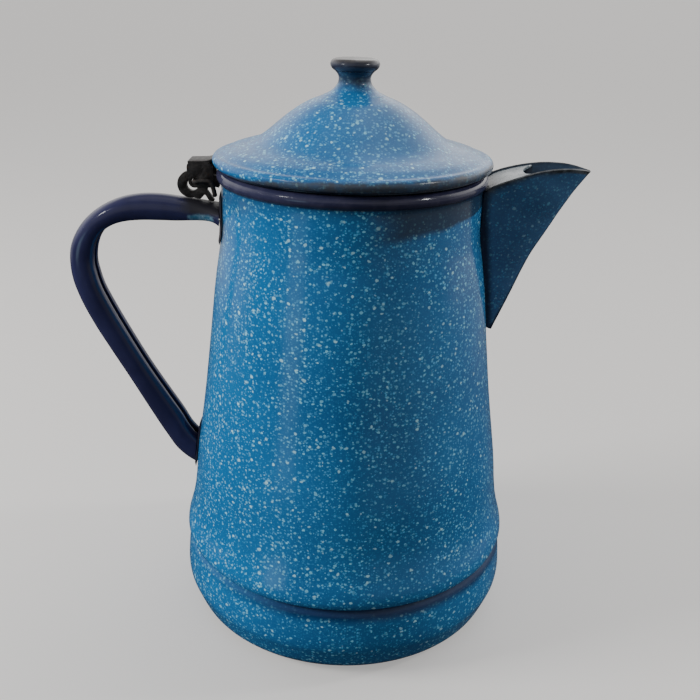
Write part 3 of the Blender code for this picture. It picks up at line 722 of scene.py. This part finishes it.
def iron_material(name, rust=0.25):
    s = Shader(name, metallic=0.0)
    grime = s.ramp(s.noise(330.0, 4.0, 0.65), 0.35, 0.70)
    colour = s.mix(grime, (0.016, 0.0145, 0.015), (0.052, 0.047, 0.046))
    rusty = s.ramp(s.noise(520.0, 4.0, 0.7, distortion=0.6), 0.56, 0.74)
    colour = s.mix(s.math("MULTIPLY", rusty, rust), colour, (0.13, 0.050, 0.022))
    bright = s.ramp(s.noise(900.0, 3.0, 0.7), 0.64, 0.80)
    colour = s.mix(s.math("MULTIPLY", bright, 0.30), colour, (0.16, 0.15, 0.145))
    rough = s.math("MULTIPLY_ADD", grime, 0.22, 0.34)
    height = s.noise(700.0, 4.0, 0.7)
    normal = s.bump(height, 0.7, 0.0003)
    metal = s.math("MULTIPLY_ADD", bright, 0.5, 0.25)
    return s.finish(colour, rough, normal, metal)


def dress(obj, body, node, material):
    obj.data.materials.clear()
    obj.data.materials.append(material)
    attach(obj, body)
    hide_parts(node)
    return obj


# ----------------------------------------------------------------- pot body
def dent(angle, z):
    """Hand-made sheet: fractions of a millimetre out of true."""
    return 0.10 * math.sin(2 * angle + 0.6 + z * 0.011) + 0.05 * math.sin(5 * angle + z * 0.031)


outer = smooth(BODY_OUTER[:-1], 4)
inner = offset(outer, WALL)
bead = arc(BEAD[:2], BEAD[2], -62, 256, 36)
fillet = [(COLLAR_R, 196.0), (COLLAR_R, 201.5), (COLLAR_R, 203.2), (56.45, 203.95)]
body = turned(
    "body_skin",
    outer + fillet + bead + [(COLLAR_R - WALL, 203.4), (COLLAR_R - WALL, 196.0)] + inner[::-1],
    wobble=lambda a, z: dent(a, z) * min(1.0, max(0.0, (z - 36.0) / 20.0)) * min(1.0, max(0.0, (196.0 - z) / 20.0)),
)
ring_points, ring_faces = [], []
for z, count in STRAINER_ROWS:
    for i in range(count):
        y = STRAINER_PITCH * (i - (count - 1) / 2)
        n, start = 24, len(ring_points)
        for x in (40.0, 70.0):
            for k in range(n):
                a = 2 * math.pi * k / n
                ring_points.append((x, y + STRAINER_HOLE_R * math.cos(a), z + STRAINER_HOLE_R * math.sin(a)))
        ring_faces.append([start + k for k in range(n)])
        ring_faces.append([start + 2 * n - 1 - k for k in range(n)])
        ring_faces += [[start + k, start + (k + 1) % n, start + n + (k + 1) % n, start + n + k] for k in range(n)]
combine(body, solid("cut", ring_points, ring_faces), "DIFFERENCE")
dress(body, "pot", "body_shell", body_material())

pan_outer = [(BASE_FLAT_R - 6, 0.0)] + smooth(BASE_OUTER, 5)
pan_inner = offset(smooth(BASE_OUTER, 5), BASE_SHEET)
base = turned(
    "base_skin",
    [(0, 0), (30, 0)] + pan_outer
    + [(73.3, 35.5), (BASE_LAP_R, BASE_LAP_Z[0]), (BASE_LAP_R, BASE_LAP_Z[1]),
       (BASE_LAP_R - 1.0, BASE_LAP_Z[1]), (BASE_LAP_R - 1.0, BASE_LAP_Z[0] - 0.6)]
    + pan_inner[-6:0:-1] + [(BASE_FLAT_R - 0.4, BASE_SHEET), (30, BASE_SHEET), (0, BASE_SHEET)],
)
dress(base, "pot", "base_pan", base_material())


# -------------------------------------------------------------------- spout
def body_cutter(grow, segs=SEGS):
    wall = offset(smooth(BASE_OUTER[1:-1], 2) + smooth(BODY_OUTER[1:-1], 4), -grow)
    top = arc(BEAD[:2], BEAD[2] + grow, -60, 90, 18)
    return turned("cut", [(0, -2), (BASE_FLAT_R, -2)] + wall + top + [(0, top[-1][1])], segs)


body_side = BODY_OUTER[:-1] + [(COLLAR_R, 210.0)]
ends = []
for i, z in enumerate(SPOUT_JOIN_Z):
    w = SPOUT_JOIN_W[i]
    r = at(body_side, z)
    x = math.sqrt(r * r - w * w)
    reach = 3.5 / (KEEL[i][0] - x + 1.0)
    ends.append((x - 3.5, w * (1 + 0.6 * reach), z))
ends += SPOUT_TOP
stations = catmull([list(k + e) for k, e in zip(KEEL, ends)], 6)
HALF = 16
loops, edge_mask = [], []
for kx, kz, ex, ew, ez in stations:
    runs = []
    for inset in (0.0, SPOUT_SHEET):
        keel, edge = Vector((kx, kz)), Vector((ex, ez))
        run = edge - keel
        depth = run.length
        d = run / depth
        start = min(inset * 1.15, 0.8 * depth)
        w = max(ew - inset, 0.3)
        depth -= start
        fold = min(max(SPOUT_FOLD_R - inset, 0.8), 0.35 * w * w / depth)
        m2 = max((w * w - 2 * fold * depth) / depth ** 2, 1e-6)
        half = []
        for i in range(HALF + 1):
            y = w * (i / HALF) ** 1.35
            s = (-fold + math.sqrt(fold * fold + m2 * y * y)) / m2
            p = keel + d * (start + min(s, depth))
            half.append((p.x, y, p.y))
        runs.append([(x, -y, z) for x, y, z in half[:0:-1]] + half)
    outer_run, inner_run = runs
    # a half-round lip between the outer and the inner face
    lip_far = (Vector(outer_run[-1]) + Vector(inner_run[-1])) / 2 + Vector((0, 0, 0.42))
    lip_near = (Vector(outer_run[0]) + Vector(inner_run[0])) / 2 + Vector((0, 0, 0.42))
    outer_run = [tuple(lip_near)] + outer_run + [tuple(lip_far)]
    inner_run = [tuple(lip_near + Vector((0, 0, -0.12)) + (Vector(inner_run[0]) - Vector(outer_run[1])) * 0.25)] + inner_run + [tuple(lip_far + Vector((0, 0, -0.12)) + (Vector(inner_run[-1]) - Vector(outer_run[-2])) * 0.25)]
    loops.append(outer_run + inner_run[::-1])
spout = skin("spout_skin", loops, 50.0)
edge_values, lip_values, within_values = [], [], []
inside = {i for i in range(len(loops[0])) if len(outer_run) < i < len(loops[0]) - 1}
for index, v in enumerate(spout.data.vertices):
    p = v.co / MM
    keel_near = lip_near_by = 99.0
    for k in range(len(stations) - 1):
        a, b = stations[k], stations[k + 1]
        for kind, q0, q1 in (
            ("keel", Vector((a[0], 0, a[1])), Vector((b[0], 0, b[1]))),
            ("lip", Vector((a[2], math.copysign(a[3], p.y), a[4])), Vector((b[2], math.copysign(b[3], p.y), b[4]))),
        ):
            if kind == "lip" and k < 6 * len(SPOUT_JOIN_Z):
                continue
            d = q1 - q0
            t = max(0.0, min(1.0, (p - q0).dot(d) / max(d.length_squared, 1e-9)))
            away = (p - (q0 + d * t)).length
            if kind == "keel":
                keel_near = min(keel_near, away)
            else:
                lip_near_by = min(lip_near_by, away)
    edge_values.append(max(0.0, min(1.0, 1.7 - keel_near / 1.4)))
    lip_values.append(max(0.0, min(1.0, 2.6 - lip_near_by / 0.75)))
    within_values.append(1.0 if index % len(loops[0]) in inside else 0.0)
for label, values in (("edge", edge_values), ("lip", lip_values), ("within", within_values)):
    layer = spout.data.attributes.new(label, "FLOAT", "POINT")
    layer.data.foreach_set("value", values)
combine(spout, body_cutter(GAP), "DIFFERENCE", 50.0)
dress(spout, "pot", "spout_shell", spout_material())

top = catmull([list(p) for p in SPOUT_TOP], 8)


def edge_at(x):
    for a, b in zip(top, top[1:]):
        if a[0] <= x <= b[0]:
            t = (x - a[0]) / (b[0] - a[0])
            return a[1] + (b[1] - a[1]) * t, a[2] + (b[2] - a[2]) * t
    return top[0][1], top[0][2] - 0.42 * (top[0][0] - x)


ACROSS, ALONG = 36, 26
bridge_loops = []
for i in range(ACROSS + 1):
    u = -1 + 2 * i / ACROSS
    front = BRIDGE_FRONT + (BRIDGE_HORNS - BRIDGE_FRONT) * abs(u) ** 2.6
    layers = []
    for drop, slim in ((0.25, 0.0), (0.25 + BRIDGE_SHEET, 0.45)):
        line = []
        for j in range(ALONG + 1):
            x = BRIDGE_BACK + (front - BRIDGE_BACK) * j / ALONG
            w, z = edge_at(x)
            sag = 0.6 * (1 - u * u) * j / ALONG
            line.append((x, u * (w - SPOUT_SHEET - 0.55 - slim), z - drop - sag))
        layers.append(line)
    bridge_loops.append(layers[0] + layers[1][::-1])
bridge = skin("bridge_skin", bridge_loops)
combine(bridge, body_cutter(GAP), "DIFFERENCE")
bevelled(bridge, 0.28, 2)
dress(bridge, "pot", "spout_bridge", bridge_material())

# ------------------------------------------------------------------- handle
rows = catmull([list(o + i + (w,)) for o, i, w in HANDLE], 5)
handle_loops = []
for ox, oz, ix, iz, w in rows:
    mid = Vector(((ox + ix) / 2, (oz + iz) / 2))
    out = Vector((ox - ix, oz - iz))
    h = out.length / 2
    out.normalize()
    c = min(0.45 * h, 2.6)
    half = [(-h, HANDLE_SLOT * w), (-h, w - c), (-h + 0.3 * c, w - 0.3 * c), (-h + c, w),
            (0.1 * h, 0.985 * w), (0.5 * h, 0.86 * w), (0.82 * h, 0.58 * w), (0.96 * h, 0.29 * w), (h, 0.0)]
    side = [tuple(p) for p in catmull([list(p) for p in half + [(0.96 * h, -0.29 * w)]], 3)][:-3]
    lip = [(-h + 0.15, HANDLE_SLOT * w - 0.25)]
    run = lip + side + [(a, -b) for a, b in side[-2::-1]] + [(lip[0][0], -lip[0][1])]
    back = offset(run, -HANDLE_SHEET)
    back[0] = (-h + HANDLE_SHEET - 0.15, HANDLE_SLOT * w - 0.25)
    back[-1] = (back[0][0], -back[0][1])
    section = []
    for a, b in run + back[::-1]:
        p = mid + out * a
        section.append((p.x, b, p.y))
    handle_loops.append(section)
handle = skin("handle_skin", handle_loops, 50.0)
combine(handle, body_cutter(2 * GAP + TAB_SHEET), "DIFFERENCE", 50.0)
dress(handle, "pot", "handle", handle_material())


def saddle(name, low, high, wide, narrow):
    sections, count, across = [], 40, 28
    for j in range(count + 1):
        t = 0.5 - 0.5 * math.cos(math.pi * j / count)
        z = low + (high - low) * t
        w = wide + (narrow - wide) * t
        edge = min(t, 1 - t) * (high - low)
        w *= 0.45 + 0.55 * math.sqrt(max(0.0, 1 - max(0.0, 1 - edge / 7.0) ** 2))
        layers = []
        for grow in (GAP + TAB_SHEET, GAP):
            row = []
            for i in range(across + 1):
                u = -1 + 2 * i / across
                y = w * u
                # the plate thins towards its rim, so the coat runs into the body
                thin = min(1.0, 4.0 * (1 - abs(u))) * min(1.0, edge / 2.0)
                r = at(body_side, z) + (GAP + (grow - GAP) * (0.25 + 0.75 * thin))
                row.append((-math.sqrt(r * r - y * y), y, z))
            layers.append(row)
        sections.append(layers[0] + layers[1][::-1])
    return skin(name, sections)


dress(saddle("upper_saddle_skin", *UPPER_TAB), "pot", "handle_upper_saddle", saddle_material("upper_saddle_enamel"))
dress(saddle("lower_saddle_skin", *LOWER_TAB), "pot", "handle_lower_saddle", saddle_material("lower_saddle_enamel"))

# -------------------------------------------------------------------- hinge
def rounded(loop, radius, steps=4):
    """The closed loop with each corner turned into a short curve."""
    out, n = [], len(loop)
    for i in range(n):
        a, b, c = Vector(loop[i - 1]), Vector(loop[i]), Vector(loop[(i + 1) % n])
        la, lc = (a - b).length, (c - b).length
        cut = min(radius, 0.42 * la, 0.42 * lc)
        p0, p1 = b + (a - b) * cut / la, b + (c - b) * cut / lc
        for k in range(steps + 1):
            t = k / steps
            q = p0 * (1 - t) ** 2 + b * 2 * t * (1 - t) + p1 * t * t
            out.append((q.x, q.y))
    return out


ring = arc(EYE, EYE_R, 60, 285, 44)
eye = prism("eye_skin", ring[:-1] + rounded([ring[-1]] + EYE_FOOT + [ring[0]], 0.55)[5:-5],
            -EYE_HALF_WIDTH, EYE_HALF_WIDTH)
lean = math.degrees(math.atan2(PIN[1] - EYE_HOLE[1], PIN[0] - EYE_HOLE[0]))
open_by = math.degrees(math.acos((EYE_HOLE_R - EYE_PIN_R) / math.dist(EYE_HOLE, PIN)))
slot = arc(EYE_HOLE, EYE_HOLE_R, lean + open_by, lean + 360 - open_by, 40)
slot += arc(PIN, EYE_PIN_R, lean - open_by, lean + open_by, 20)
combine(eye, prism("cut", slot, -9, 9), "DIFFERENCE", 30.0)
bevelled(eye, 0.34, 2)
dress(eye, "pot", "hinge_eye", iron_material("hinge_eye_iron", 0.20))

pin = tube(
    "pin_skin",
    [(PIN[0], 8.1, PIN[1]), (PIN[0], 0.0, PIN[1]), (PIN[0], -6.7, PIN[1]), (PIN[0] + 0.2, -7.4, PIN[1] + 0.02),
     (PIN[0] + 0.75, -7.85, PIN[1] + 0.08), (PIN[0] + 1.6, -8.0, PIN[1] + 0.18),
     (-63.8, -8.0, 203.8), (-62.0, -8.0, 203.85), (-60.6, -8.0, 203.5),
     (-59.6, -8.0, 202.5), (-59.1, -8.0, 201.0), (-58.4, -8.0, 197.8)],
    PIN_R,
)
dress(pin, "pot", "hinge_pin", iron_material("hinge_pin_iron", 0.75))

strap = smooth(CLEVIS_TOP, 4)
under = offset(strap, -CLEVIS_SHEET)
clevis = prism("clevis_skin", strap + under[::-1], -EAR_OUT + 0.15, EAR_OUT - 0.15)
ear = rounded(EAR_TOP + arc(PIN, EAR_LOBE_R, 168, 265, 14) + EAR_BOTTOM, 0.5)
for y0, y1 in ((-EAR_OUT, -EAR_IN), (EAR_IN, EAR_OUT)):
    combine(clevis, prism("cut", ear, y0, y1), "UNION", 30.0)
combine(clevis, prism("cut", arc(PIN, EAR_HOLE_R, 0, 345, 23), -9, 9), "DIFFERENCE", 30.0)
bevelled(clevis, 0.20, 2)
dress(clevis, "lid", "lid_hinge_clevis", iron_material("clevis_iron", 0.30))

# ---------------------------------------------------------------------- lid
lid_top = smooth(LID_TOP, 5)
lid_under = offset(lid_top, -LID_SHEET)
curl = arc(LID_CURL[:2], LID_CURL[2], 88, -140, 34)
curl_in = arc(LID_CURL[:2], LID_CURL[2] - LID_SHEET + 0.1, 90, -140, 20)
lid = turned(
    "lid_skin",
    lid_top[:-1] + [(53.3, 217.55), (54.6, 216.95), (55.8, 216.3), (56.5, 215.95)] + curl + curl_in[::-1]
    + [(55.0, 215.3)] + lid_under[-2::-1],
)
combine(
    lid,
    prism("cut", [(-62.0, 209.0), (-54.0, 209.0), (-54.0, 213.0), (-57.4, 213.95), (-62.0, 213.95)],
          -NOTCH_HALF_WIDTH, NOTCH_HALF_WIDTH),
    "DIFFERENCE",
)
dress(lid, "lid", "lid_shell", lid_material())

ro, ri, low = COLLAR_SKIRT
fr, f0, f1 = COLLAR_FLANGE
collar = turned(
    "collar_skin",
    [(ro, low + 0.3), (ro, f0 - 0.8), (ro + 0.15, f0 - 0.3), (ro + 0.5, f0), (fr - 0.2, f0), (fr, f0 + 0.2),
     (fr, f1 - 0.2), (fr - 0.2, f1), (ro - 0.1, f1), (ri + 0.2, f1 - 0.4), (ri, f1 - 1.0), (ri, low + 0.3),
     (ri + 0.3, low), (ro - 0.3, low)],
)
dress(collar, "lid", "lid_collar", collar_material())

# the neck's foot feathers out on the dome and its top meets the cap's underside
neck_out = smooth([(12.6, 240.02), (11.2, 240.68), (10.1, 241.3), (9.1, 242.05)] + KNOB_NECK[1:] + [(8.3, 249.52)], 5)
neck = turned(
    "neck_skin",
    neck_out + [(7.4, 249.5), (5.2, 249.2), (5.2, 246.4), (5.6, 244.2), (7.2, 242.3), (8.9, 241.7), (10.4, 241.0)],
    128,
)
dress(neck, "lid", "knob_neck", neck_material())

r, (z0, z1) = KNOB_CAP_R, KNOB_CAP_Z
cap_side = smooth([(6.6, z1), (8.2, z1 - 0.14), (9.35, z1 - 0.6), (10.05, z1 - 1.45), (r, z1 - 2.4),
                   (10.05, z1 - 3.35), (9.35, z0 + 0.72), (8.35, z0)], 6)
cap = turned("cap_skin", [(0, z1 - 0.05), (3.0, z1 - 0.02), (5.2, z1)] + cap_side + [(4.0, z0), (0, z0)], 128)
dress(cap, "lid", "knob_cap", cap_material())

# -------------------------------------------------------- floor and lighting
FAR = 60.0
floor_mesh = bpy.data.meshes.new("floor")
floor_mesh.from_pydata([(-FAR, -FAR, 0), (FAR, -FAR, 0), (FAR, FAR, 0), (-FAR, FAR, 0)], [], [(0, 1, 2, 3)])
floor = bpy.data.objects.new("floor", floor_mesh)
bpy.context.scene.collection.objects.link(floor)
paper = Shader("floor_paper", 0.9)
paper.bsdf.inputs["Specular IOR Level"].default_value = 0.1
paper.bsdf.inputs["Emission Color"].default_value = (1.0, 0.985, 0.97, 1.0)
paper.bsdf.inputs["Emission Strength"].default_value = 0.36
floor_mesh.materials.append(paper.finish((0.50, 0.49, 0.48, 1.0)))
floor.visible_glossy = False
floor.visible_diffuse = False


def lamp(name, turn, rise, away, target, size, power, colour=(1, 1, 1)):
    """A soft square lamp; `turn` is degrees from the front towards the spout."""
    data = bpy.data.lights.new(name, "AREA")
    data.energy, data.color, data.size = power, colour, size
    light = bpy.data.objects.new(name, data)
    bpy.context.scene.collection.objects.link(light)
    t, e = math.radians(turn), math.radians(rise)
    light.location = Vector(target) + away * Vector((
        math.sin(t) * math.cos(e), -math.cos(t) * math.cos(e), math.sin(e)))
    light.rotation_euler = (Vector(target) - light.location).to_track_quat("-Z", "Y").to_euler()
    light.visible_camera = False
    return light


key = lamp("key", -78, 24, 1.25, (0, 0, 0.12), 0.42, 15.5, (1.0, 0.99, 0.97))
key.visible_glossy = False
lamp("ceiling", 98, 24, 1.30, (0, 0, 0.18), 0.12, 5.0, (1.0, 0.98, 0.95)).visible_glossy = False
for name, place, power in (("glint_left", (-60, 30), 1.0), ("glint_right", (66, 30), 1.6)):
    glint = lamp(name, *place, 1.1, (0, 0, 0.2), 0.10, power)
    glint.visible_diffuse = False

# a room of soft panels: pale wall behind, dim front, a tall window front left
world = bpy.data.worlds.new("studio")
bpy.context.scene.world = world
world.use_nodes = True
sky = Shader.__new__(Shader)
sky.tree = world.node_tree
background = sky.tree.nodes["Background"]
way = sky.tree.nodes.new("ShaderNodeTexCoord").outputs["Generated"]
axes = sky.tree.nodes.new("ShaderNodeSeparateXYZ")
sky.link(way, axes.inputs[0])
sx, sy, sz = axes.outputs
turn = sky.math("ARCTAN2", sx, sky.math("MULTIPLY", sy, -1.0))
behind = sky.ramp(sky.math("ABSOLUTE", turn), 1.35, 1.85)
low = sky.math("MULTIPLY_ADD", sky.ramp(turn, -0.5, 0.5), -0.08, sz)
bright = sky.math("MULTIPLY_ADD", sky.ramp(sz, -0.05, 0.30), 0.74, 0.48)
bright = sky.math("MULTIPLY_ADD", sky.math("MULTIPLY", sky.ramp(turn, 0.6, 1.6), sky.ramp(sz, 0.02, 0.30)), 0.70, bright)
bright = sky.math("MULTIPLY_ADD", sky.ramp(sz, 0.42, 0.80), -0.95, bright)
wall = sky.math("MULTIPLY", behind, sky.math("MULTIPLY", sky.ramp(low, -0.30, -0.18), bright))
room = sky.math("MULTIPLY", sky.ramp(sz, -0.06, 0.20), sky.math("MULTIPLY_ADD", sky.ramp(sz, 0.40, 0.80), -0.22, 0.37))
room = sky.math("MULTIPLY", sky.math("SUBTRACT", 1.0, behind), room)
# what the floor's end of the room returns, stronger towards the spout side
side = sky.math("MULTIPLY", sky.ramp(turn, 0.02, 0.42), sky.ramp(sz, -0.36, -0.26))
side = sky.math("MULTIPLY", sky.math("MULTIPLY", side, sky.ramp(sz, 0.06, -0.06)), 0.24)
far_side = sky.math("MULTIPLY", sky.ramp(turn, 0.55, 1.15), sky.ramp(turn, 3.0, 2.5))
far_side = sky.math("MULTIPLY", far_side, sky.math("MULTIPLY", sky.ramp(sz, 0.05, -0.08), sky.ramp(sz, -0.90, -0.40)))
side = sky.math("MULTIPLY_ADD", far_side, 0.06, side)
pane = sky.math("MULTIPLY", sky.ramp(turn, -0.97, -0.87), sky.ramp(turn, -0.60, -0.72))
pane = sky.math("MULTIPLY", pane, sky.math("MULTIPLY", sky.ramp(sz, -0.31, -0.20), sky.ramp(sz, 0.06, -0.04)))
pane = sky.math("MULTIPLY", pane, 1.5)
overhead = sky.math("MULTIPLY", sky.ramp(sz, 0.84, 0.95), 0.34)
level = sky.math("ADD", sky.math("ADD", wall, room), sky.math("ADD", side, overhead))
level = sky.math("MULTIPLY_ADD", level, 0.5, 0.02)
tone = sky.mix(level, (0.0, 0.0, 0.0), (1.0, 0.985, 0.97))
tone = sky.mix(1.0, tone, sky.mix(sky.math("MULTIPLY", pane, 0.5), (0.0, 0.0, 0.0), (0.60, 0.88, 1.0)), "ADD")
sky.link(tone, background.inputs["Color"])
background.inputs["Strength"].default_value = 2.0
